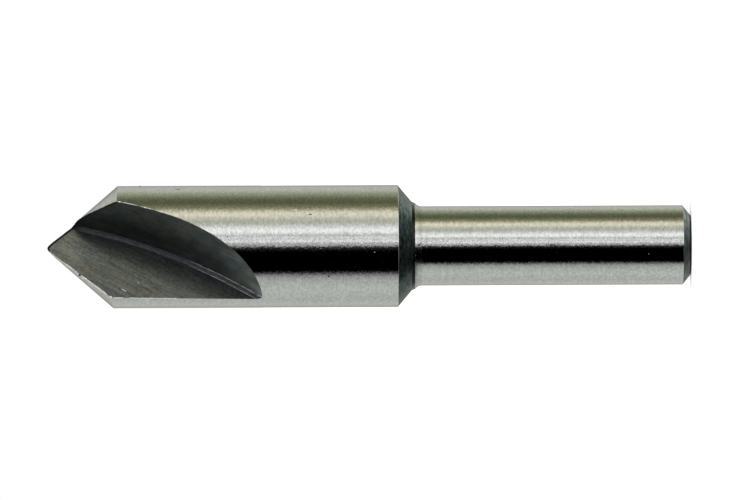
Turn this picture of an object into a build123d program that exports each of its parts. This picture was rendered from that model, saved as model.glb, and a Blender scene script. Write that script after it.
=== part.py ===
"""Single-flute countersink bit of 82 degrees on a round quarter-inch shank, made from one bar of tool steel.

The bit stands on the end of its shank, with its axis on Z and its point up. The rake face of its one
flute looks towards -Y, and the cutting edge runs down the left side of the point, towards -X, so that
the bit cuts when it turns to the right.
"""

import os
from math import cos, radians, sin, sqrt, tan

from build123d import *

os.makedirs("parts", exist_ok=True)

# Lengths are in mm and angles in degrees. Heights are measured up from the end of the shank.
shank_diameter = 6.35
shank_length = 21.54  # up to the root radius below the neck
shank_end_diameter = 4.69  # flat of the end, inside the chamfer
shank_chamfer_height = 0.65
shank_edge_radius = 0.12  # between the flat end and the chamfer

root_radius = 0.61  # left by the wheel that ground the shank
root_height = 0.49
neck_land_height = 0.30
neck_land_angle = 24.0  # from the axis, as is the next
neck_cone_angle = 50.0
shoulder_radius = 0.09  # breaks the edge between the neck cone and the body
body_diameter = 9.76

overall_length = 51.45  # to the blunt tip
apex_height = 51.67  # where the ground sides of the point would meet
apex_offset = 0.34  # of that apex from the axis, towards the cutting edge
apex_lead = 0.32  # and forward of it, past the rake face
cone_base_height = 43.67  # where the outline of the point is given, below the body's corner
cone_edge_radius = 7.14  # radius of that outline at the cutting edge
relief_drop = 0.48  # by which the radius falls from the cutting edge round to the heel
heel_angle = 255.0  # turn from the cutting edge back to the heel, where the flute begins

rake_tilt = 1.4  # the rake face sinks towards the shank
rake_crossing_height = 34.7  # where the rake face meets the bit's axis
wheel_radius = 43.9  # of the wheel that ground the flute
wheel_centre_height = 59.1
wheel_centre_offset = 41.1  # from the bit's axis, on the side of the cutting edge
wheel_corner_radius = 0.32  # leaves the radius in the root of the flute
wheel_rim_width = 8.0
wheel_rim_bow = 15.0  # radius of the wheel's rim in section, which makes the flute's wall lean out

shank_radius = shank_diameter / 2
body_radius = body_diameter / 2

# Turned profile, from the end of the shank up to a plain body.
root_flare = root_radius - sqrt(root_radius**2 - root_height**2)
root_bottom = (shank_radius, shank_length)
root_top = (shank_radius + root_flare, shank_length + root_height)
land_top = (root_top[0] + neck_land_height * tan(radians(neck_land_angle)), root_top[1] + neck_land_height)
shoulder = (body_radius, land_top[1] + (body_radius - land_top[0]) / tan(radians(neck_cone_angle)))

# Ground point: a cone over a spiral, so that the surface falls away behind the cutting edge all the way
# round to the heel.
outline_turns = range(-40, 291, 15)  # both ends lie in front of the rake face


def point_outline(turn):
    """Point of the spiral, at an angle back from the cutting edge."""
    radius = cone_edge_radius - relief_drop * turn / heel_angle
    return (-radius * cos(radians(turn)), radius * sin(radians(turn)))


# Grinding wheel: its flat side leaves the rake face and its rim leaves the curved wall of the flute.
rake_normal = Vector(0, -cos(radians(rake_tilt)), -sin(radians(rake_tilt)))
rake_setback = (rake_crossing_height - wheel_centre_height) * tan(radians(rake_tilt))
wheel_centre = Vector(-wheel_centre_offset, rake_setback, wheel_centre_height)
wheel_section = Plane(origin=wheel_centre, x_dir=(1, 0, 0), z_dir=Vector(1, 0, 0).cross(rake_normal))
rim_bow_height = wheel_rim_bow - sqrt(wheel_rim_bow**2 - wheel_rim_width**2)

with BuildPart() as point_envelope:
    with BuildSketch(Plane.XY.offset(cone_base_height)) as cone_base:
        with BuildLine():
            spiral = Spline(*[point_outline(turn) for turn in outline_turns])
            Line(spiral @ 1, spiral @ 0)
        make_face()
    extrude(amount=-cone_base_height)
    loft(sections=[cone_base.sketch.face(), Vertex(-apex_offset, -apex_lead, apex_height)], ruled=True)

with BuildPart() as bit:
    with BuildSketch(Plane.XZ):
        with BuildLine():
            Polyline((0, 0), (shank_end_diameter / 2, 0), (shank_radius, shank_chamfer_height), root_bottom)
            TangentArc(root_bottom, root_top, tangent=(0, 1))
            Polyline(root_top, land_top, shoulder, (body_radius, overall_length), (0, overall_length), (0, 0))
        make_face()
        fillet(vertices().group_by(Axis.Y)[0].sort_by(Axis.X)[-1], radius=shank_edge_radius)
        fillet(vertices().group_by(Axis.X)[-1].sort_by(Axis.Y)[0], radius=shoulder_radius)
    revolve(axis=Axis.Z)
    add(point_envelope.part, mode=Mode.INTERSECT)

    with BuildSketch(wheel_section):
        with BuildLine():
            Line((0, 0), (wheel_radius, 0))
            TangentArc((wheel_radius, 0), (wheel_radius + rim_bow_height, wheel_rim_width), tangent=(0, 1))
            Polyline((wheel_radius + rim_bow_height, wheel_rim_width), (0, wheel_rim_width), (0, 0))
        wheel_outline = make_face()
        fillet(wheel_outline.vertices().sort_by(Axis.X)[-2], radius=wheel_corner_radius)
    revolve(axis=Axis(wheel_centre, rake_normal), mode=Mode.SUBTRACT)

bit.part.label = "countersink_bit"
export_step(bit.part, "parts/countersink_bit.step")
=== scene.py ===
"""Countersink bit: the ground tool's finer mesh, its steel and its studio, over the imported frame."""

import math

import bmesh
import bpy
from mathutils import Matrix, Vector, noise


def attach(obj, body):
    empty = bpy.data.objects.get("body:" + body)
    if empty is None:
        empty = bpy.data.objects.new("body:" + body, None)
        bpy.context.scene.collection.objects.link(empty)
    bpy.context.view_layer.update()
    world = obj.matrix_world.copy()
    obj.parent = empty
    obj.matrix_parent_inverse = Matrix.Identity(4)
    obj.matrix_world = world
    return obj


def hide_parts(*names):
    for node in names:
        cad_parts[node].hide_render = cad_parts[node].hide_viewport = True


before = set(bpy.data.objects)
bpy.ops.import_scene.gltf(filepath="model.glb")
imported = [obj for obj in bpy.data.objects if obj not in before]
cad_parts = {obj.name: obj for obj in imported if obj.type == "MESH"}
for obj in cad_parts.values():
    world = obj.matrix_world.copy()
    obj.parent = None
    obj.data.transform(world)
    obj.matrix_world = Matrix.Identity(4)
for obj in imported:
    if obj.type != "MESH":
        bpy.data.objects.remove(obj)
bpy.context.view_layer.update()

MM = 0.001

# Driving dimensions of the bit, in mm and degrees, with heights up from the end of the shank.
SHANK_RADIUS = 6.35 / 2
SHANK_LENGTH = 21.54
SHANK_END_RADIUS = 4.69 / 2
SHANK_CHAMFER_HEIGHT = 0.65
SHANK_EDGE_RADIUS = 0.12
ROOT_RADIUS = 0.61
ROOT_HEIGHT = 0.49
NECK_LAND_HEIGHT = 0.30
NECK_LAND_ANGLE = 24.0
NECK_CONE_ANGLE = 50.0
SHOULDER_RADIUS = 0.09
BODY_RADIUS = 9.76 / 2
OVERALL_LENGTH = 51.45
APEX = Vector((-0.34, -0.32, 51.67))
CONE_BASE_HEIGHT = 43.67
CONE_EDGE_RADIUS = 7.14
RELIEF_DROP = 0.48
HEEL_ANGLE = 255.0
RAKE_TILT = math.radians(1.4)
RAKE_CROSSING_HEIGHT = 34.7
WHEEL_RADIUS = 43.9
WHEEL_CENTRE_HEIGHT = 59.1
WHEEL_CENTRE_OFFSET = 41.1
WHEEL_CORNER_RADIUS = 0.32
WHEEL_RIM_WIDTH = 8.0
WHEEL_RIM_BOW = 15.0

RAKE_NORMAL = Vector((0, -math.cos(RAKE_TILT), -math.sin(RAKE_TILT)))
WHEEL_CENTRE = Vector((
    -WHEEL_CENTRE_OFFSET,
    (RAKE_CROSSING_HEIGHT - WHEEL_CENTRE_HEIGHT) * math.tan(RAKE_TILT),
    WHEEL_CENTRE_HEIGHT,
))

# What the finished mesh adds to the plain solid.
EDGE_BREAK = 0.035  # tiny radius in mm on the turned corners, which the plain solid leaves sharp
END_FILM = 0.18  # share of the shank's chamfer that is as dark as its end
FILLET_SHINE = 0.22  # share of the neck's land that is as bright as the root radius
FILLET_SHEEN = 0.35  # share of the root radius's turn that its shading makes, as if polished nearly flat

# How finely it is cut, in mm and degrees.
ROUND_STEPS = 288
CORNER_STEPS = 4
RADIUS_STEPS = 8  # of the shank's root radius and of the flute's
SHANK_RING_SPACING = 2
POINT_TURNS = range(-40, 291)
POINT_GAP_TURN = 300  # lies in the gap between both ends of that outline
POINT_LEVELS = [0.006, 0.012, 0.02, 0.03, 0.045, 0.065, 0.10, 0.20, 1.0]  # down from the apex, as shares
POINT_FOOT = -5  # height that the point's envelope reaches down to, past the end of the shank
WHEEL_DEPTH = 18.0  # of the ring that stands for the wheel
WHEEL_STEPS = 260
WHEEL_TURN_START = -14.0
WHEEL_TURN_SWEEP = 56.0
WHEEL_RIM_STEPS = 16
BEAD_SIDES = 8
BEAD_SPACING = 0.05  # of a thread's rings

# How its normals are set.
SHARP_ANGLE = math.radians(16)
END_LEAN = 0.3  # a face of a round finish whose normal has more than this along Z is part of a corner
TIP_HEIGHT = 0.6  # in mm, down from the tip, where the point's shading follows its rounding
NORMAL_AGREEMENT = 0.5  # least cosine between a surface's exact normal and the face that takes it

# The view: the bit lies across the picture, point to the left, seen from one metre. Lengths are in mm.
VIEW_DISTANCE = 1000.0
VIEW_FIELD = 60.0  # width of the picture at the bit
VIEW_TURN = math.radians(-30.9)  # of the camera round the bit, from the rake face
VIEW_RISE = math.radians(0.8)  # towards the point
VIEW_ROLL = math.radians(-0.236)
VIEW_AIM_HEIGHT = 25.26
VIEW_AIM_SHIFT = 0.31  # the bit lies this far above the middle of the picture


def on_rake(across, height):
    """Point of the rake face, in mm."""
    return Vector((across, (RAKE_CROSSING_HEIGHT - height) * math.tan(RAKE_TILT), height))


def on_round(radius, turn, height):
    """Point of a cylinder round the axis, in mm, at degrees from the camera towards the picture's top."""
    angle = VIEW_TURN + math.radians(turn)
    return Vector((radius * math.sin(angle), -radius * math.cos(angle), height))


# Torn steel along the cutting edge and along the outer edge of the flute's wall, coloured as a near-white
# painted highlight, in mm: (from height, to height, radius, unevenness).
CUTTING_EDGE_BURRS = [(49.0, 50.2, 0.024, 0.6), (46.7, 48.9, 0.036, 0.5)]
FLUTE_EDGE_BURRS = [(41.2, 46.0, 0.014, 0.9), (45.35, 46.0, 0.055, 0.3), (43.35, 44.0, 0.045, 0.5)]
RAKE_BURR_START = 41.0  # height from which a fine burr in painted highlight runs along the rake face's edge on the body

# The black line of painted shade round the tip, in mm: (finish that meets the point there, radius, seed,
# unevenness, whether its ends are blunt).
TIP_SHADE_LINES = [
    ("rake", 0.078, 3.3, 0.15, True),
    ("root", 0.085, 4.4, 0.15, True),
    ("wall", 0.062, 5.7, 0.25, False),
]
TIP_SHADE_REACH = 0.22  # past the apex on the rake face, where the cutting edge's burr takes over
TIP_SHADE_SINK = Vector((-0.03, 0, -0.04))

# Lumps and specks: torn steel in near-white painted highlight, scratches, soot, and near-black painted
# shade
# in small pits and a nick, in mm: (centre, half size along each axis, seed, finish).
MARKS = [
    (on_rake(-4.80, 46.38), (0.08, 0.07, 0.10), 2.0, "burr"),
    (on_rake(-3.45, 44.18), (0.035, 0.03, 0.04), 5.0, "burr"),
    (on_rake(-2.80, 48.88), (0.09, 0.07, 0.08), 7.0, "shadow"),
    (on_rake(-2.66, 49.05), (0.05, 0.06, 0.07), 8.0, "burr"),
    (on_rake(-3.05, 48.60), (0.05, 0.06, 0.09), 9.0, "burr"),
    (on_round(4.87, 31.5, 30.45), (0.05, 0.03, 0.15), 11.0, "shadow"),
    (on_round(4.88, -29.3, 29.03), (0.07, 0.05, 0.08), 12.0, "shadow"),
    (on_round(4.87, 36.8, 31.60), (0.05, 0.03, 0.09), 13.0, "burr"),
    (on_round(4.87, -5.6, 25.36), (0.05, 0.03, 0.05), 14.0, "scratch"),
    (on_round(4.87, 9.5, 37.05), (0.05, 0.03, 0.06), 15.0, "shadow"),
    (on_round(4.87, 1.0, 35.36), (0.05, 0.03, 0.06), 16.0, "shadow"),
    (on_round(4.87, 0.2, 34.96), (0.05, 0.03, 0.04), 17.0, "shadow"),
    (on_round(4.87, 88.0, 44.02), (0.05, 0.05, 0.07), 18.0, "shadow"),
    (on_round(4.87, 70.0, 40.98), (0.05, 0.03, 0.24), 19.0, "soot"),
    (on_round(3.17, -12.8, 3.46), (0.04, 0.02, 0.04), 20.0, "scratch"),
    (on_round(3.17, 27.7, 7.25), (0.03, 0.02, 0.05), 21.0, "shadow"),
    (on_round(3.24, 1.5, 21.84), (0.08, 0.03, 0.13), 25.0, "shadow"),
    (on_round(3.18, 4.0, 21.66), (0.05, 0.03, 0.06), 26.0, "shadow"),
    (on_round(2.37, 8.0, 0.06), (0.05, 0.05, 0.05), 22.0, "shadow"),
    (on_round(2.37, -15.8, 0.06), (0.06, 0.06, 0.05), 23.0, "shadow"),
    (on_round(2.37, 28.5, 0.06), (0.05, 0.05, 0.05), 24.0, "shadow"),
]
LUMP_SWELL = 0.35  # unevenness of a lump, as a share of its size
LUMP_DETAIL = 1.7  # cycles of that unevenness to a lump's half size

# Shape of the threads.
BEAD_REFERENCE = Vector((0.3, -0.9, 0.1))  # lies along none of the edges
BEAD_DETAIL = 2.2  # cycles of unevenness to a mm
BEAD_UNEVENNESS = 1.6
BEAD_THINNEST = 0.15  # share of the radius
BEAD_END = 0.05  # share of the radius at an end that tapers
BEAD_TAPER = 4  # rings over which it tapers

# Scratches on the rake face, in mm: (points as distance across and height, radius, finish). The first
# height is also the scratch's seed.
SCRATCHES = [
    # a raised curl in near-white painted highlight
    ([(-4.01, 45.58), (-4.17, 45.34), (-4.31, 45.10)], 0.028, "burr"),
    ([(-0.68, 49.08), (-0.36, 48.95)], 0.022, "scratch"),
    ([(-0.64, 48.78), (-0.28, 48.63)], 0.022, "scratch"),
]

# Base colours.
BRIGHT = (0.47, 0.48, 0.465)
FILLET_COLOR = (0.40, 0.41, 0.40)
RAKE_COLOR = (0.098, 0.108, 0.109)
ROOT_COLOR = (0.033, 0.037, 0.042)
# painted highlight along the root's borders
ROOT_HIGHLIGHT_COLOR = (0.36, 0.35, 0.38)
WALL_COLOR = (0.055, 0.062, 0.058)
WALL_END_COLOR = (0.10, 0.112, 0.108)
NECK_COLOR = (0.080, 0.113, 0.106)
LAND_COLOR = (0.022, 0.026, 0.025)
CHAMFER_COLOR = (0.205, 0.24, 0.235)
END_COLOR = (0.010, 0.016, 0.016)
# near-white painted highlight of the burr threads and lumps
BURR_HIGHLIGHT_COLOR = (0.80, 0.82, 0.82)
SCRATCH_COLOR = (0.30, 0.31, 0.29)
SOOT_COLOR = (0.12, 0.115, 0.10)
# near-black painted shade of the line round the tip and of the lumps in pits and a nick
SHADOW_COLOR = (0.004, 0.007, 0.009)
FLOOR_COLOR = (0.96, 0.96, 0.96)
HALF_GREY = (0.5, 0.5, 0.5)  # leaves room for the wall's marks below a colour's limit of 1

# Half widths of the step from a pattern's dull side to its bright one.
CRISP, MEDIUM, SOFT = 0.14, 0.18, 0.20

ROUND_FINISHES = ("ground", "shank")
LOOSE_FINISHES = ("burr", "scratch", "soot", "shadow")  # of the small marks

# Where the look of the flute changes, in mm, from where a change sets in to where it is complete, and by
# how much.
RAKE_SCRATCH_SLOPE = 30.0  # of the steeper scratches, in degrees
RAKE_SHADE_REACH = (2.5, 1.5)  # from the root, over which the painted shade sets in
RAKE_SHADE_HEIGHT = (45.5, 43.5)
RAKE_ROOT_REACH = (1.3, 0.3)  # from the root, where the painted shade is thinner
RAKE_POINT_HEIGHT = (48.3, 49.6)  # lighter from here up
RAKE_SHADE = 0.3  # share of the brightness that the painted shade takes
RAKE_SHADE_THIN = 0.85  # share of the painted shade that is missing next to the root
RAKE_ROOT_SHADE = 0.16  # share that painted shade takes next to the root besides
RAKE_BRIGHTNESS = 0.95
RAKE_POINT_LIFT = 0.28  # added to that near the point
ROOT_HIGHLIGHT_HEIGHT = (40.8, 38.2)  # the painted highlight lines show from here down
ROOT_WALL_HIGHLIGHT = (WHEEL_CORNER_RADIUS - 0.17, WHEEL_CORNER_RADIUS - 0.09)  # painted highlight line, over the rake face
ROOT_RAKE_HIGHLIGHT = (WHEEL_CORNER_RADIUS - 0.08, WHEEL_CORNER_RADIUS - 0.03)  # painted highlight line, from the wall
ROOT_DARK_HEIGHT = (48.5, 49.1)  # darker from here up
ROOT_DARK = 0.35  # share of the brightness that is left there
ROOT_METALLIC = 0.15
ROOT_HIGHLIGHT_METALLIC = 0.3  # added to that on the painted highlight lines
WALL_FAINT_HEIGHT = (45.0, 39.5)
WALL_FAINT_SHARE = 0.3  # share of the way to WALL_END_COLOR
WALL_LIGHTER_HEIGHT = (38.8, 36.2)
WALL_ROOT_REACH = (1.9, 0.3)  # over the rake face: painted light towards the root, where the wall lies in shade
WALL_BRIGHTNESS = 1.7  # over half grey
WALL_ROOT_PAINTED_LIGHT = 1.9  # painted light added to that next to the root

# The studio that the steel reflects, in metres: a ring round the bit and a card below it.
STUDIO_STRENGTH = 2.0
RING_RADIUS = 0.7
RING_HEIGHT = 0.9  # up and down from the floor
RING_STEPS = 180
RING_BELOW = (-0.10, -0.45)  # heights between which the brightness changes to that of the lower part
RING_BELOW_CHANGE = -0.45  # of that brightness, on the side of the picture's bottom
RING_BELOW_LIFT = 0.85  # added to that change, on the side of the picture's top
RING_ACROSS = (-0.5, 0.15)  # from the one side to the other
PIT_STEPS = 90
PIT_DEPTH = 0.9  # below the floor
PIT_DARK = (0.02, 0.02, 0.02)
PIT_BEHIND = (0.06, 0.06, 0.06)
PIT_BESIDE = (0.24, 0.24, 0.24)
PIT_IN_FRONT = (0.42, 0.42, 0.42)
PIT_BEHIND_REACH = (0.15, 0.55)  # along Y from the bit, as is PIT_FRONT_REACH; PIT_BESIDE_REACH is along X
PIT_BESIDE_REACH = (-0.15, 0.7)
PIT_FRONT_REACH = (-0.2, -0.4)

# The ring's brightness over STUDIO_STRENGTH, as grey or colour, at angles in degrees round the bit from the
# camera towards the top of the picture.
STUDIO = [
    (-180, (0.05, 0.045, 0.03)), (-158, (0.29, 0.29, 0.25)), (-142, 0.40), (-118, (0.385, 0.40, 0.38)),
    (-90, (0.44, 0.465, 0.44)), (-72, (0.385, 0.405, 0.385)), (-60, 0.29), (-54, 0.115), (-50, 0.0),
    (-8.5, 0.0), (-0.4, 0.02), (3.1, 0.62), (6.1, 0.05), (9.6, 1.22), (13.1, 0.12), (16.5, 1.06),
    (19.9, 0.20), (24, 0.72), (30, 0.90), (36, 0.68), (42, (0.48, 0.48, 0.445)),
    (48, (0.40, 0.395, 0.34)), (54, (0.48, 0.475, 0.39)), (61, (0.71, 0.66, 0.55)),
    (67, (0.70, 0.64, 0.52)), (77, (0.20, 0.20, 0.12)), (90, (0.085, 0.09, 0.048)),
    (102, (0.105, 0.117, 0.070)), (120, (0.28, 0.295, 0.22)), (132, (0.40, 0.41, 0.35)),
    (150, (0.36, 0.36, 0.35)), (180, (0.05, 0.045, 0.03)),
]

# The white floor and the camera.
FLOOR_HALF = 6.0  # in metres
FLOOR_GLOW = 0.3  # for the camera alone, so that the floor is as white as the background
SENSOR_WIDTH = 36.0  # in mm
CLIP = (0.05, 20.0)  # in metres


# ---------------------------------------------------------------- materials

class Look:
    """A material and its node tree, with a short way to make each kind of node that the looks need."""

    def __init__(self, name):
        self.material = bpy.data.materials.new(name)
        self.material.use_nodes = True
        self.tree = self.material.node_tree

    def feed(self, socket, value):
        """Sets a socket to a plain value, or links it to the socket that makes the value."""
        if isinstance(value, bpy.types.NodeSocket):
            self.tree.links.new(value, socket)
        else:
            socket.default_value = value

    def add(self, kind, inputs=None, **settings):
        """A node with its settings and its inputs."""
        made = self.tree.nodes.new(kind)
        for key, value in settings.items():
            setattr(made, key, value)
        for key, value in (inputs or {}).items():
            self.feed(made.inputs[key], value)
        return made

    def shade(self, inputs):
        """Feeds the Principled shader."""
        for key, value in inputs.items():
            self.feed(self.tree.nodes["Principled BSDF"].inputs[key], value)

    def own_place(self):
        """The object's own coordinates, in metres."""
        return self.add("ShaderNodeTexCoord").outputs["Object"]

    def wheel_place(self):
        """Distance from the wheel's axis, height over its flat side, and height on the bit, all in mm."""
        in_mm = self.scaled(self.own_place(), 1 / MM)
        from_centre = self.vectors("SUBTRACT", in_mm, WHEEL_CENTRE)
        over_rake = self.vectors("DOT_PRODUCT", from_centre, RAKE_NORMAL, output="Value")
        across = self.vectors("CROSS_PRODUCT", from_centre, RAKE_NORMAL)
        distance = self.add("ShaderNodeVectorMath", {0: across}, operation="LENGTH")
        parts = self.add("ShaderNodeSeparateXYZ", {"Vector": in_mm})
        return distance.outputs["Value"], over_rake, parts.outputs["Z"]

    def drawn_out(self, **axes):
        """Coordinates made of a socket in mm and its cycles per mm along each axis."""
        inputs = {axis: self.calculate("MULTIPLY", value, rate) for axis, (value, rate) in axes.items()}
        return self.add("ShaderNodeCombineXYZ", inputs).outputs["Vector"]

    def grain(self, vector, detail, roughness):
        """Plain noise over a vector socket."""
        inputs = {"Vector": vector, "Scale": 1.0, "Detail": detail, "Roughness": roughness}
        return self.add("ShaderNodeTexNoise", inputs).outputs["Fac"]

    def own_grain(self, scale, shift=(0, 0, 0), detail=3.0, roughness=0.6):
        """Noise over the object's own coordinates, with its cycles per metre along each axis."""
        inputs = {"Vector": self.own_place(), "Location": shift, "Scale": scale}
        return self.grain(self.add("ShaderNodeMapping", inputs).outputs["Vector"], detail, roughness)

    def calculate(self, operation, *values):
        """Result of a Math node over sockets and numbers."""
        return self.add("ShaderNodeMath", dict(enumerate(values)), operation=operation).outputs["Value"]

    def line(self, value, slope, start):
        """Start plus a socket times its slope."""
        return self.calculate("MULTIPLY_ADD", value, slope, start)

    def weighed(self, *shares):
        """Sum of (socket, weight)."""
        *others, (value, weight) = shares
        total = self.calculate("MULTIPLY", value, weight)
        for value, weight in reversed(others):
            total = self.line(value, weight, total)
        return total

    def fade(self, value, low, high):
        """Smooth step from 0 at low to 1 at high."""
        inputs = {"Value": value, "From Min": low, "From Max": high}
        return self.add("ShaderNodeMapRange", inputs, interpolation_type="SMOOTHSTEP").outputs["Result"]

    def vectors(self, operation, first, second, output="Vector"):
        """Result of a Vector Math node over two vectors or colours."""
        return self.add("ShaderNodeVectorMath", {0: first, 1: second}, operation=operation).outputs[output]

    def scaled(self, vector, factor):
        """A vector or colour times a number or socket."""
        inputs = {0: vector, "Scale": factor}
        return self.add("ShaderNodeVectorMath", inputs, operation="SCALE").outputs["Vector"]

    def tinted(self, factor, low, high):
        """Colour that goes from low to high with a factor socket."""
        made = self.add("ShaderNodeMix", {"Factor": factor}, data_type="RGBA")
        for socket, color in zip((s for s in made.inputs if s.type == "RGBA"), (low, high)):
            self.feed(socket, (*color, 1) if isinstance(color, tuple) else color)
        return next(s for s in made.outputs if s.type == "RGBA")

    def mottled(self, color, pattern, spread, low, high):
        """The colour from one brightness to another, as a pattern rises through its middle."""
        factor = self.fade(pattern, 0.5 - spread, 0.5 + spread)
        return self.tinted(factor, brightened(color, low), brightened(color, high))

    def heat_tinted(self, color, strength, seed):
        """The colour with faint bluish and brownish patches."""
        patches = self.own_grain((800, 800, 650), (seed, 2 * seed, 3), detail=2.0)
        cool = (1 - strength, 1.0, 1 + strength)
        warm = (1 + strength, 1.0, 1 - strength)
        return self.vectors("MULTIPLY", color, self.tinted(self.fade(patches, 0.35, 0.65), cool, warm))

    def ramp(self, factor, stops):
        """Colour from (position, grey or colour) stops."""
        made = self.add("ShaderNodeValToRGB", {"Fac": factor})
        elements = made.color_ramp.elements
        while len(elements) < len(stops):
            elements.new(0.5)
        for element, (position, color) in zip(elements, stops):
            element.position = position
            element.color = (*color, 1) if isinstance(color, tuple) else (color, color, color, 1)
        return made.outputs["Color"]

    def bumps(self, *layers):
        """Normal of bumps on top of each other, from (height socket, depth in mm)."""
        normal = None
        for height, depth in layers:
            inputs = {"Height": height, "Distance": depth * MM}
            if normal is not None:
                inputs["Normal"] = normal
            normal = self.add("ShaderNodeBump", inputs).outputs["Normal"]
        return normal


def brightened(color, brightness):
    """The colour times a brightness."""
    return tuple(min(c * brightness, 1.0) for c in color)


def principled(name, color, metallic=1.0, roughness=0.3, specular=0.5):
    """Look with its constants on the shader's own sockets."""
    look = Look(name)
    look.shade({
        "Base Color": (*color, 1),
        "Metallic": metallic,
        "Roughness": roughness,
        "Specular IOR Level": specular,
    })
    return look


def ground_steel(name, color, roughness=(0.05, 0.10), waves=0.007, contrast=1.0):
    """Bright cylindrically ground steel: fine grain drawn out round the axis, and an uneven polish."""
    look = principled(name, color)
    rings = look.own_grain((400, 400, 5200), roughness=0.7)
    specks = look.own_grain((1700, 1700, 4800), (5, 1, 2), roughness=0.75)
    tones = look.own_grain((4000, 4000, 5200), (2, 8, 4), detail=2.0)
    clouds = look.own_grain((420, 420, 700), (7, 4, 9), roughness=0.55)
    mixed = look.weighed((rings, 0.25), (tones, 0.75))
    polish = look.add("ShaderNodeMapRange", {
        "Value": clouds, "From Min": 0.3, "From Max": 0.7, "To Min": roughness[0], "To Max": roughness[1],
    })
    look.shade({
        "Base Color": look.mottled(color, mixed, SOFT, 1 - 0.16 * contrast, 1 + 0.16 * contrast),
        "Roughness": polish.outputs["Result"],
        "Normal": look.bumps((rings, 0.0007), (specks, 0.016), (clouds, waves)),
    })
    return look.material


def rake_steel():
    """The rake face: grey steel under the wheel's arcs and steeper scratches, with painted shade along the
    root.
    """
    look = principled("rake_steel", RAKE_COLOR)
    distance, _, height = look.wheel_place()
    scratches = look.grain(look.drawn_out(X=(distance, 9.0), Y=(height, 0.35)), detail=4.0, roughness=0.7)
    turned = look.add("ShaderNodeMapping", {
        "Vector": look.own_place(),
        "Rotation": (0, math.radians(RAKE_SCRATCH_SLOPE), 0),
        "Scale": (1 / 7000, 1 / 1000, 1 / 420),
    }, vector_type="TEXTURE")
    steep = look.grain(turned.outputs["Vector"], detail=3.0, roughness=0.65)
    mottle = look.own_grain((3800, 3800, 3800), (1, 7, 3), detail=4.0, roughness=0.7)
    marks = look.weighed((scratches, 0.2), (steep, 0.4), (mottle, 0.4))
    clean = look.mottled(RAKE_COLOR, marks, CRISP, 0.6, 1.45)

    from_root = look.calculate("SUBTRACT", WHEEL_RADIUS - WHEEL_CORNER_RADIUS, distance)
    near_root = look.fade(from_root, *RAKE_ROOT_REACH)
    near_point = look.fade(height, *RAKE_POINT_HEIGHT)
    # painted shade: darker in a band along the root, where the rake face meets the wall; right at the root
    # most of that band is left out, and a lighter painted shade of its own is taken there instead
    painted_shade = look.calculate(
        "MULTIPLY", look.fade(from_root, *RAKE_SHADE_REACH), look.fade(height, *RAKE_SHADE_HEIGHT))
    dark = look.calculate("MULTIPLY", painted_shade, look.line(near_root, -RAKE_SHADE_THIN, 1.0))
    level = look.line(dark, -RAKE_SHADE, look.line(near_root, -RAKE_ROOT_SHADE, 1.0))
    level = look.calculate("MULTIPLY", level, look.line(near_point, RAKE_POINT_LIFT, RAKE_BRIGHTNESS))
    look.shade({
        "Base Color": look.scaled(look.heat_tinted(clean, 0.045, 4.0), level),
        "Normal": look.bumps((marks, 0.014)),
    })
    return look.material


def root_steel():
    """The flute's root radius: a dull film, with a painted highlight line along either border near the
    shank.
    """
    look = principled("root_steel", ROOT_COLOR, roughness=0.5, specular=0.2)
    distance, over_rake, height = look.wheel_place()
    along = look.drawn_out(X=(distance, 9.0), Y=(height, 2.2), Z=(over_rake, 9.0))
    scratches = look.grain(along, detail=4.0, roughness=0.7)
    film = look.mottled(ROOT_COLOR, scratches, CRISP, 0.6, 1.45)
    film = look.tinted(look.fade(height, *ROOT_DARK_HEIGHT), film, brightened(ROOT_COLOR, ROOT_DARK))

    # painted highlight: a bright, more metallic line along either border of the root, broken up by its
    # scratches
    from_wall = look.calculate("SUBTRACT", WHEEL_RADIUS, distance)
    lines = look.calculate(
        "MAXIMUM", look.fade(over_rake, *ROOT_WALL_HIGHLIGHT), look.fade(from_wall, *ROOT_RAKE_HIGHLIGHT))
    shown = look.calculate("MULTIPLY", lines, look.fade(height, *ROOT_HIGHLIGHT_HEIGHT))
    lighter_share = look.calculate("MULTIPLY", shown, look.fade(scratches, 0.34, 0.56))
    look.shade({
        "Base Color": look.tinted(lighter_share, film, ROOT_HIGHLIGHT_COLOR),
        "Metallic": look.line(lighter_share, ROOT_HIGHLIGHT_METALLIC, ROOT_METALLIC),
        "Normal": look.bumps((scratches, 0.012)),
    })
    return look.material


def wall_steel():
    """The curved wall of the flute: nearly black towards the point, lighter towards the shank where the
    wheel ran out, with painted light next to the root.
    """
    look = principled("wall_steel", WALL_COLOR, roughness=0.5)
    _, over_rake, height = look.wheel_place()
    scratches = look.grain(look.drawn_out(X=(over_rake, 8.0), Y=(height, 0.5)), detail=4.0, roughness=0.7)
    mottle = look.own_grain((900, 900, 900), (3, 7, 1), detail=4.0, roughness=0.65)
    marks = look.weighed((scratches, 0.5), (mottle, 0.5))
    faint = look.calculate("MULTIPLY", look.fade(height, *WALL_FAINT_HEIGHT), WALL_FAINT_SHARE)
    lighter_share = look.calculate("MAXIMUM", faint, look.fade(height, *WALL_LIGHTER_HEIGHT))
    color = look.tinted(lighter_share, WALL_COLOR, WALL_END_COLOR)
    color = look.vectors("MULTIPLY", color, look.mottled(HALF_GREY, marks, MEDIUM, 0.7, 1.5))
    # painted light: lighter next to the root, where the wall lies in shade
    near_root = look.fade(over_rake, *WALL_ROOT_REACH)
    color = look.scaled(color, look.line(near_root, WALL_ROOT_PAINTED_LIGHT, WALL_BRIGHTNESS))
    look.shade({"Base Color": look.heat_tinted(color, 0.07, 9.0), "Normal": look.bumps((marks, 0.014))})
    return look.material


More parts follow.
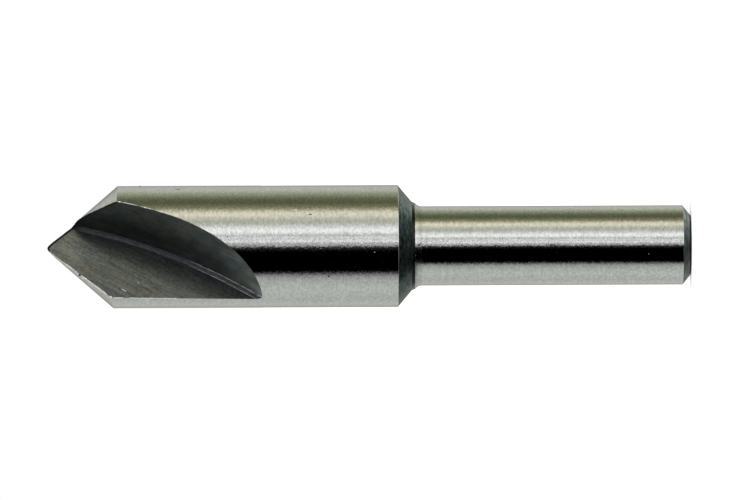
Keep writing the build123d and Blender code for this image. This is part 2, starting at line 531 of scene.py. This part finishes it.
def turned_steel(name, color, roughness, metallic=1.0, specular=0.2, contrast=1.0, ring_share=0.45):
    """Steel that was turned, hardened and never ground: dark and mottled, with the turning tool's rings."""
    look = principled(name, color, metallic, roughness, specular)
    rings = look.own_grain((70, 70, 9000), (5, 3, 6), detail=2.0, roughness=0.5)
    mottle = look.own_grain((1700, 1700, 3600), (2, 1, 2), detail=4.0, roughness=0.7)
    mixed = look.weighed((rings, ring_share), (mottle, 1 - ring_share))
    look.shade({
        "Base Color": look.mottled(color, mixed, CRISP, 1 - 0.5 * contrast, 1 + 0.7 * contrast),
        "Normal": look.bumps((rings, 0.006), (mottle, 0.012)),
    })
    return look.material


def mark_steel(name, color, roughness):
    """Non-metallic look of a small mark: torn steel in near-white painted highlight, a scratch, soot, or
    near-black painted shade.
    """
    look = principled(name, color, metallic=0.0, roughness=roughness, specular=0.1)
    mottle = look.own_grain((6000, 6000, 6000), detail=2.0)
    look.shade({
        "Base Color": look.mottled(color, mottle, SOFT, 0.6, 1.3),
        "Normal": look.bumps((mottle, 0.02)),
    })
    return look.material


# ---------------------------------------------------------------- the bit's shape

def rounded_corner(before, corner, after, radius=EDGE_BREAK):
    """Points of a small arc that replaces a profile's corner."""
    to_before, to_after = (before - corner).normalized(), (after - corner).normalized()
    half = to_before.angle(to_after) / 2
    reach = radius / math.tan(half)
    centre = corner + (to_before + to_after).normalized() * (radius / math.sin(half))
    start, end = corner + to_before * reach - centre, corner + to_after * reach - centre
    shares = [step / CORNER_STEPS for step in range(CORNER_STEPS + 1)]
    return [centre + start.lerp(end, share).normalized() * radius for share in shares]


def bar_profile():
    """The turned bar's half section as (point, finish of the stretch that ends there)."""
    bottom, end_edge = Vector((0, 0)), Vector((SHANK_END_RADIUS, 0))
    chamfer_top = Vector((SHANK_RADIUS, SHANK_CHAMFER_HEIGHT))
    root_bottom = Vector((SHANK_RADIUS, SHANK_LENGTH))
    flare = ROOT_RADIUS - math.sqrt(ROOT_RADIUS**2 - ROOT_HEIGHT**2)
    root_top = Vector((SHANK_RADIUS + flare, SHANK_LENGTH + ROOT_HEIGHT))
    land_flare = NECK_LAND_HEIGHT * math.tan(math.radians(NECK_LAND_ANGLE))
    land_top = root_top + Vector((land_flare, NECK_LAND_HEIGHT))
    neck_rise = (BODY_RADIUS - land_top.x) / math.tan(math.radians(NECK_CONE_ANGLE))
    shoulder = Vector((BODY_RADIUS, land_top.y + neck_rise))
    bar_top = Vector((BODY_RADIUS, OVERALL_LENGTH))

    profile = [(bottom, None)]
    profile += [(p, "end") for p in rounded_corner(bottom, end_edge, chamfer_top, SHANK_EDGE_RADIUS)]
    chamfer_points = rounded_corner(end_edge, chamfer_top, root_bottom)
    profile += [(end_edge.lerp(chamfer_top, END_FILM), "end"), (chamfer_points[0], "chamfer")]
    profile += [(p, "shank") for p in chamfer_points[1:]]
    heights = range(SHANK_RING_SPACING, int(SHANK_LENGTH), SHANK_RING_SPACING)
    profile += [(Vector((SHANK_RADIUS, height)), "shank") for height in heights]
    profile += [(root_bottom, "shank")]
    for step in range(1, RADIUS_STEPS + 1):
        rise = ROOT_HEIGHT * step / RADIUS_STEPS
        radius = SHANK_RADIUS + ROOT_RADIUS - math.sqrt(ROOT_RADIUS**2 - rise**2)
        profile.append((Vector((radius, SHANK_LENGTH + rise)), "fillet"))
    profile.append((root_top.lerp(land_top, FILLET_SHINE), "fillet"))
    profile += [(p, "land") for p in rounded_corner(root_top, land_top, shoulder)]
    shoulder_points = rounded_corner(land_top, shoulder, bar_top, SHOULDER_RADIUS)
    profile += [(shoulder_points[0], "neck")] + [(p, "ground") for p in shoulder_points[1:]]
    profile += [(bar_top, "ground"), (Vector((0, OVERALL_LENGTH)), "ground")]
    return profile


def placed(name, data):
    """Object for a mesh or camera, in the scene."""
    made = bpy.data.objects.new(name, data)
    bpy.context.scene.collection.objects.link(made)
    return made


def mesh_object(name, points, faces, finishes, slots):
    """Mesh object in metres from points in mm, with one material slot for each finish."""
    mesh = bpy.data.meshes.new(name)
    mesh.from_pydata([p * MM for p in points], [], faces)
    made = placed(name, mesh)
    for material in slots:
        mesh.materials.append(material)
    mesh.polygons.foreach_set("material_index", finishes)
    mesh.update()
    return made


def turned_bar(slots, index):
    """The bar before grinding, as rings round Z."""
    profile = bar_profile()
    points, faces, finishes = [], [], []
    rings = []
    for point, _ in profile:
        if point.x == 0:
            rings.append([len(points)])
            points.append(Vector((0, 0, point.y)))
            continue
        rings.append(list(range(len(points), len(points) + ROUND_STEPS)))
        for step in range(ROUND_STEPS):
            turn = 2 * math.pi * step / ROUND_STEPS
            points.append(Vector((point.x * math.cos(turn), point.x * math.sin(turn), point.y)))
    for (lower, upper), (_, finish) in zip(zip(rings, rings[1:]), profile[1:]):
        for step in range(ROUND_STEPS):
            after = (step + 1) % ROUND_STEPS
            if len(lower) == 1:
                faces.append((lower[0], upper[after], upper[step]))
            elif len(upper) == 1:
                faces.append((lower[step], lower[after], upper[0]))
            else:
                faces.append((lower[step], lower[after], upper[after], upper[step]))
            finishes.append(index[finish])
    return mesh_object("turned_bar", points, faces, finishes, slots)


def point_outline(turn):
    """Point of the spiral that the cutting cone stands on, at degrees back from the cutting edge."""
    radius = CONE_EDGE_RADIUS - RELIEF_DROP * turn / HEEL_ANGLE
    angle = math.radians(turn)
    return Vector((-radius * math.cos(angle), radius * math.sin(angle), CONE_BASE_HEIGHT))


def point_envelope(slots, index):
    """Everything inside the cutting cone, rounded at its very tip, down past the end of the shank."""
    outline = [point_outline(turn) for turn in POINT_TURNS]
    count = len(outline)
    drop = APEX.z - CONE_BASE_HEIGHT
    blunt = (APEX.z - OVERALL_LENGTH) / drop
    points, faces = [Vector((APEX.x, APEX.y, OVERALL_LENGTH))], []
    for level in POINT_LEVELS:
        depth = drop * math.hypot(level, blunt) if level < 1 else drop
        for p in outline:
            across, along = APEX.x + (p.x - APEX.x) * level, APEX.y + (p.y - APEX.y) * level
            points.append(Vector((across, along, APEX.z - depth)))
    points += [Vector((p.x, p.y, POINT_FOOT)) for p in outline]
    for step in range(count):
        after = (step + 1) % count
        faces.append((0, 1 + step, 1 + after))
        for ring in range(len(POINT_LEVELS)):
            low, high = 1 + ring * count, 1 + (ring + 1) * count
            faces.append((low + step, high + step, high + after, low + after))
    bottom = 1 + len(POINT_LEVELS) * count
    faces.append(tuple(range(bottom + count - 1, bottom - 1, -1)))
    return mesh_object("point_envelope", points, faces, [index["point"]] * len(faces), slots)


def wheel_rim(height):
    """Radius of the wheel at a height above its flat side, outside its rounded corner."""
    return WHEEL_RADIUS + WHEEL_RIM_BOW - math.sqrt(WHEEL_RIM_BOW**2 - height**2)


def flute_wheel(slots, index):
    """The stretch of the grinding wheel that stands in the flute."""
    corner = WHEEL_CORNER_RADIUS
    profile = [(WHEEL_RADIUS - WHEEL_DEPTH, 0.0, "rake"), (WHEEL_RADIUS - corner, 0.0, "rake")]
    for step in range(1, RADIUS_STEPS + 1):
        turn = math.pi / 2 * step / RADIUS_STEPS
        radius = WHEEL_RADIUS - corner + corner * math.sin(turn)
        profile.append((radius, corner - corner * math.cos(turn), "root"))
    for step in range(1, WHEEL_RIM_STEPS + 1):
        height = corner + (WHEEL_RIM_WIDTH - corner) * step / WHEEL_RIM_STEPS
        profile.append((wheel_rim(height), height, "wall"))
    profile.append((WHEEL_RADIUS - WHEEL_DEPTH, WHEEL_RIM_WIDTH, "wall"))
    across = Vector((1, 0, 0))
    down = across.cross(RAKE_NORMAL)
    sections, points, faces, finishes = [], [], [], []
    for step in range(WHEEL_STEPS + 1):
        turn = math.radians(WHEEL_TURN_START + WHEEL_TURN_SWEEP * step / WHEEL_STEPS)
        radial = across * math.cos(turn) + down * math.sin(turn)
        sections.append(list(range(len(points), len(points) + len(profile))))
        points += [WHEEL_CENTRE + radial * radius + RAKE_NORMAL * height for radius, height, _ in profile]
    for low, high in zip(sections, sections[1:]):
        for place in range(len(profile)):
            after = (place + 1) % len(profile)
            faces.append((low[place], low[after], high[after], high[place]))
            finishes.append(index[profile[after][2]])
    faces += [tuple(reversed(sections[0])), tuple(sections[-1])]
    finishes += [index["wall"]] * 2
    return mesh_object("flute_wheel", points, faces, finishes, slots)


def outward(mesh_obj):
    """Turns a closed mesh's faces outward."""
    work = bmesh.new()
    work.from_mesh(mesh_obj.data)
    bmesh.ops.recalc_face_normals(work, faces=work.faces)
    work.to_mesh(mesh_obj.data)
    work.free()


def boolean(target, cutter, operation):
    """Applies one exact boolean and removes the cutter."""
    outward(cutter)
    modifier = target.modifiers.new(operation, "BOOLEAN")
    modifier.operation, modifier.solver, modifier.object = operation, "EXACT", cutter
    dependencies = bpy.context.evaluated_depsgraph_get()
    result = bpy.data.meshes.new_from_object(target.evaluated_get(dependencies))
    target.modifiers.clear()
    target.data = result
    bpy.data.objects.remove(cutter)


def surface_normal(place, finish):
    """Exact normal of a ground surface at a point in mm, or None where the mesh's own normal serves."""
    if finish in ROUND_FINISHES:
        return Vector((place.x, place.y, 0)).normalized()
    if finish == "fillet":
        tilt = math.asin(max(0.0, min(1.0, (place.z - SHANK_LENGTH) / ROOT_RADIUS))) * FILLET_SHEEN
        return Vector((place.x, place.y, 0)).normalized() * math.cos(tilt) - Vector((0, 0, math.sin(tilt)))
    if finish == "rake":
        return RAKE_NORMAL
    from_centre = place - WHEEL_CENTRE
    height = from_centre.dot(RAKE_NORMAL)
    radial = from_centre - RAKE_NORMAL * height
    if finish == "root":
        offset = WHEEL_RADIUS - WHEEL_CORNER_RADIUS
        centre = radial.normalized() * offset + RAKE_NORMAL * WHEEL_CORNER_RADIUS
        return (centre - from_centre).normalized()
    if finish == "wall":
        slope = height / math.sqrt(WHEEL_RIM_BOW**2 - height**2)
        return (RAKE_NORMAL * slope - radial.normalized()).normalized()
    if finish == "point":
        along = place - APEX
        foot = APEX + along * ((CONE_BASE_HEIGHT - APEX.z) / along.z)
        turn = math.degrees(math.atan2(foot.y, -foot.x)) % 360
        if turn > POINT_GAP_TURN:
            turn -= 360
        tangent = point_outline(turn + 0.5) - point_outline(turn - 0.5)
        normal = tangent.cross(along).normalized()
        return normal if normal.z > 0 else -normal
    return None


def shading_normal(face, vertex, finish):
    """Normal that one corner of a face is shaded with, or None where the mesh's own serves."""
    if finish in LOOSE_FINISHES:
        return vertex.normal.copy()
    place = vertex.co / MM
    if finish in ROUND_FINISHES and abs(face.normal.z) > END_LEAN:
        return None
    if finish == "point" and place.z > OVERALL_LENGTH - TIP_HEIGHT:
        return None
    normal = surface_normal(place, finish)
    return normal if normal is not None and normal.dot(face.normal) > NORMAL_AGREEMENT else None


def edge_paths(mesh, first, second):
    """Runs of the mesh's edges between two finishes, as lists of points in mm."""
    sides = {}
    for face in mesh.polygons:
        for key in face.edge_keys:
            sides.setdefault(key, set()).add(face.material_index)
    neighbours = {}
    for (start, end), finishes in sides.items():
        if finishes == {first, second}:
            neighbours.setdefault(start, []).append(end)
            neighbours.setdefault(end, []).append(start)
    paths, seen = [], set()
    ends = [v for v in sorted(neighbours) if len(neighbours[v]) == 1] + sorted(neighbours)
    for start in ends:
        if start in seen:
            continue
        path, here = [start], start
        seen.add(start)
        while True:
            after = [v for v in neighbours[here] if v not in seen]
            if not after:
                break
            here = after[0]
            seen.add(here)
            path.append(here)
        if len(path) > 2:
            paths.append([mesh.vertices[v].co / MM for v in path])
    return paths


def resampled(path, spacing):
    """The same run with its points evenly spaced."""
    points, carried = [path[0]], 0.0
    for start, end in zip(path, path[1:]):
        length = (end - start).length
        place = spacing - carried
        while place <= length:
            points.append(start.lerp(end, place / length))
            place += spacing
        carried = (carried + length) % spacing
    return points


def bead(path, radius, seed, uneven, spacing=BEAD_SPACING, sink=None, blunt=False):
    """Uneven thread of metal along a run, all in mm; returns (points, faces).

    It thins out at both ends unless it is blunt, and sink moves all of it.
    """
    centres = resampled(path, spacing)
    count = len(centres)
    points, faces = [], []
    for place, centre in enumerate(centres):
        along = (centres[min(place + 1, count - 1)] - centres[max(place - 1, 0)]).normalized()
        side = along.cross(BEAD_REFERENCE).normalized()
        other = along.cross(side)
        wander = noise.noise(Vector((place * spacing * BEAD_DETAIL, seed, 0.5)))
        from_end = min(place, count - 1 - place)
        taper = 1.0 if blunt else min(1.0, from_end / BEAD_TAPER + BEAD_END)
        size = radius * taper * max(BEAD_THINNEST, 1 + uneven * BEAD_UNEVENNESS * wander)
        start = centre if sink is None else centre + sink
        for step in range(BEAD_SIDES):
            turn = 2 * math.pi * step / BEAD_SIDES
            points.append(start + (side * math.cos(turn) + other * math.sin(turn)) * size)
    for place in range(count - 1):
        for step in range(BEAD_SIDES):
            after = (step + 1) % BEAD_SIDES
            low, high = place * BEAD_SIDES, (place + 1) * BEAD_SIDES
            faces.append((low + step, low + after, high + after, high + step))
    faces.append(tuple(range(BEAD_SIDES - 1, -1, -1)))
    faces.append(tuple(range((count - 1) * BEAD_SIDES, count * BEAD_SIDES)))
    return points, faces


def lump(centre, size, seed):
    """Small irregular lump with its own half size along each axis, all in mm; returns (points, faces)."""
    work = bmesh.new()
    bmesh.ops.create_icosphere(work, subdivisions=2, radius=1.0)
    points = []
    for vertex in work.verts:
        swell = 1 + LUMP_SWELL * noise.noise(vertex.co * LUMP_DETAIL + Vector((seed, seed * 0.3, 0)))
        points.append(centre + Vector(v * s for v, s in zip(vertex.co, size)) * swell)
    work.verts.index_update()
    faces = [tuple(v.index for v in face.verts) for face in work.faces]
    work.free()
    return points, faces


def small_marks(mesh, index):
    """Threads and lumps of torn steel in painted highlight, of painted shade and of soot; returns (points,
    faces, finish) of each.
    """
    made = []

    def beads(first, second, keep, finish, radius, seed, uneven, **shape):
        """Threads along the stretches that are kept of the edges between two finishes."""
        for path in edge_paths(mesh, index[first], index[second]):
            kept = [p for p in path if keep(p)]
            if len(kept) > 2:
                made.append((*bead(kept, radius, seed, uneven, **shape), finish))

    # near-black painted shade round the tip
    tip_side = APEX.x - TIP_SHADE_REACH
    for finish, radius, seed, uneven, blunt in TIP_SHADE_LINES:
        beads(finish, "point", lambda p: finish != "rake" or p.x > tip_side, "shadow", radius, seed, uneven,
              sink=TIP_SHADE_SINK, blunt=blunt)
    # near-white painted highlight on the torn steel of the cutting edge, the rake face's edge and the
    # flute's edge
    for low, high, radius, uneven in CUTTING_EDGE_BURRS:
        beads("rake", "point", lambda p: low < p.z < high and p.x < tip_side, "burr", radius, 8.1, uneven)
    beads("rake", "ground", lambda p: p.z > RAKE_BURR_START, "burr", radius=0.018, seed=2.6, uneven=0.9)
    for low, high, radius, uneven in FLUTE_EDGE_BURRS:
        beads("wall", "ground", lambda p: low < p.z < high and p.x > 0, "burr", radius, 1.9, uneven)
    for place, size, seed, finish in MARKS:
        made.append((*lump(place, size, seed), finish))
    for ends, radius, finish in SCRATCHES:
        path = [on_rake(*end) for end in ends]
        made.append((*bead(path, radius, seed=ends[0][1], uneven=0.5, spacing=0.03), finish))
    return made


def bit_mesh(materials):
    """The finished bit: the bar, ground to a relieved cone, fluted by the wheel, with its burr threads and
    marks, some of them painted highlight and shade.
    """
    slots, names = list(materials.values()), list(materials)
    index = {name: place for place, name in enumerate(names)}
    bit = turned_bar(slots, index)
    outward(bit)
    boolean(bit, point_envelope(slots, index), "INTERSECT")
    boolean(bit, flute_wheel(slots, index), "DIFFERENCE")
    bit.name = bit.data.name = "countersink_bit_ground"
    mesh = bit.data
    work = bmesh.new()
    work.from_mesh(mesh)
    for points, faces, finish in small_marks(mesh, index):
        vertices = [work.verts.new(p * MM) for p in points]
        for face in faces:
            work.faces.new([vertices[place] for place in face]).material_index = index[finish]
    work.to_mesh(mesh)
    work.free()

    mesh.polygons.foreach_set("use_smooth", [True] * len(mesh.polygons))
    mesh.set_sharp_from_angle(angle=SHARP_ANGLE)
    mesh.update()
    normals = [Vector(corner.vector) for corner in mesh.corner_normals]
    for face in mesh.polygons:
        for corner in face.loop_indices:
            vertex = mesh.vertices[mesh.loops[corner].vertex_index]
            normal = shading_normal(face, vertex, names[face.material_index])
            if normal is not None:
                normals[corner] = normal
    mesh.normals_split_custom_set([tuple(n) for n in normals])
    return bit


# ---------------------------------------------------------------- studio

def surround():
    """Ring of dark flags and soft light round the bit."""
    points, faces = [], []
    for step in range(RING_STEPS):
        turn = 2 * math.pi * step / RING_STEPS
        here, after = 2 * step, 2 * ((step + 1) % RING_STEPS)
        for level in (-RING_HEIGHT, RING_HEIGHT):
            points.append((RING_RADIUS * math.sin(turn), -RING_RADIUS * math.cos(turn), level))
        faces.append((here, after, after + 1, here + 1))
    reflected_card("surround", points, faces, studio_color)


def pit():
    """Dark card below the bit."""
    turns = [2 * math.pi * step / PIT_STEPS for step in range(PIT_STEPS)]
    points = [(RING_RADIUS * math.cos(turn), RING_RADIUS * math.sin(turn), -PIT_DEPTH) for turn in turns]
    reflected_card("pit", points, [tuple(range(PIT_STEPS))], pit_color)


def reflected_card(name, points, faces, color):
    """Glowing card that only reflections see, with its colour from a function of its own coordinates."""
    mesh = bpy.data.meshes.new(name)
    mesh.from_pydata(points, [], faces)
    card = placed(name, mesh)
    card.rotation_euler = (0, 0, VIEW_TURN)
    card.visible_camera = False
    card.visible_diffuse = False
    card.visible_shadow = False

    look = Look(name)
    look.tree.nodes.clear()
    place = look.add("ShaderNodeSeparateXYZ", {"Vector": look.own_place()}).outputs
    glow = look.add("ShaderNodeEmission", {"Color": color(look, place), "Strength": STUDIO_STRENGTH})
    look.add("ShaderNodeOutputMaterial", {"Surface": glow.outputs["Emission"]})
    mesh.materials.append(look.material)


def studio_color(look, place):
    """Brightness of the ring by the angle round the bit, changed a little towards its lower part."""
    turn = look.calculate("ARCTAN2", place["X"], look.calculate("MULTIPLY", place["Y"], -1.0))
    share = look.line(turn, 1 / (2 * math.pi), 0.5)
    color = look.ramp(share, [((angle + 180) / 360, stop) for angle, stop in STUDIO])
    change = look.line(look.fade(place["X"], *RING_ACROSS), RING_BELOW_LIFT, RING_BELOW_CHANGE)
    return look.scaled(color, look.line(look.fade(place["Z"], *RING_BELOW), change, 1.0))


def pit_color(look, place):
    """Darkest under the bit, lighter behind it, towards the top of the picture and under the camera."""
    behind = look.tinted(look.fade(place["Y"], *PIT_BEHIND_REACH), PIT_DARK, PIT_BEHIND)
    beside = look.tinted(look.fade(place["X"], *PIT_BESIDE_REACH), behind, PIT_BESIDE)
    return look.tinted(look.fade(place["Y"], *PIT_FRONT_REACH), beside, PIT_IN_FRONT)


def floor():
    """Plain white floor under the bit, left out of reflections."""
    mesh = bpy.data.meshes.new("floor")
    corners = [(FLOOR_HALF * x, FLOOR_HALF * y, 0) for x, y in ((-1, -1), (1, -1), (1, 1), (-1, 1))]
    mesh.from_pydata(corners, [], [(0, 1, 2, 3)])
    look = principled("white_floor", FLOOR_COLOR, metallic=0.0, roughness=1.0, specular=0.0)
    seen = look.add("ShaderNodeLightPath").outputs["Is Camera Ray"]
    look.shade({
        "Emission Color": (1, 1, 1, 1), "Emission Strength": look.calculate("MULTIPLY", seen, FLOOR_GLOW),
    })
    mesh.materials.append(look.material)
    made = placed("floor", mesh)
    made.visible_glossy = False


def white_world():
    """Even white light from all round, which is also the background."""
    world = bpy.data.worlds.new("white")
    bpy.context.scene.world = world
    world.use_nodes = True
    background = world.node_tree.nodes["Background"]
    background.inputs["Color"].default_value = (1, 1, 1, 1)
    background.inputs["Strength"].default_value = 1.0


def camera():
    """Camera one metre off, level with the bit and rolled so that the bit lies across the picture."""
    to_camera = Vector((
        math.sin(VIEW_TURN) * math.cos(VIEW_RISE),
        -math.cos(VIEW_TURN) * math.cos(VIEW_RISE),
        math.sin(VIEW_RISE),
    ))
    picture_up = Vector((math.cos(VIEW_TURN), math.sin(VIEW_TURN), 0))
    right = picture_up.cross(to_camera)
    turn = Matrix.Rotation(VIEW_ROLL, 3, to_camera)
    right, up = turn @ right, turn @ picture_up
    data = bpy.data.cameras.new("camera")
    data.sensor_width = SENSOR_WIDTH
    data.lens = data.sensor_width * VIEW_DISTANCE / VIEW_FIELD
    data.clip_start, data.clip_end = CLIP
    made = placed("camera", data)
    aim = Vector((0, 0, VIEW_AIM_HEIGHT)) - up * VIEW_AIM_SHIFT
    place = (aim + to_camera * VIEW_DISTANCE) * MM
    made.matrix_world = Matrix((
        (right.x, up.x, to_camera.x, place.x),
        (right.y, up.y, to_camera.y, place.y),
        (right.z, up.z, to_camera.z, place.z),
        (0, 0, 0, 1),
    ))
    bpy.context.scene.camera = made


materials = {
    "ground": ground_steel("ground_steel", BRIGHT),
    "shank": ground_steel("shank_steel", BRIGHT, waves=0.014),
    "fillet": ground_steel("fillet_steel", FILLET_COLOR, roughness=(0.12, 0.2)),
    "point": ground_steel("point_steel", BRIGHT, contrast=1.6),
    "rake": rake_steel(),
    "root": root_steel(),
    "wall": wall_steel(),
    "neck": turned_steel("neck_steel", NECK_COLOR, 0.3, contrast=1.3, ring_share=0.25),
    "land": turned_steel("land_steel", LAND_COLOR, 0.22),
    "chamfer": turned_steel("chamfer_steel", CHAMFER_COLOR, 0.42),
    "end": turned_steel("end_steel", END_COLOR, 0.6, metallic=0.0, specular=0.0),
    # torn steel in near-white painted highlight
    "burr": mark_steel("mark_steel", BURR_HIGHLIGHT_COLOR, 0.4),
    "scratch": mark_steel("scratch_steel", SCRATCH_COLOR, 0.5),
    "soot": mark_steel("soot_steel", SOOT_COLOR, 0.5),
    # near-black painted shade: the line round the tip and the lumps in pits and a nick
    "shadow": mark_steel("painted_shade_steel", SHADOW_COLOR, 0.6),
}
bit = bit_mesh(materials)
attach(bit, "root")
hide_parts("countersink_bit")

surround()
pit()
floor()
white_world()
camera()
bpy.context.scene.view_settings.view_transform = "Standard"
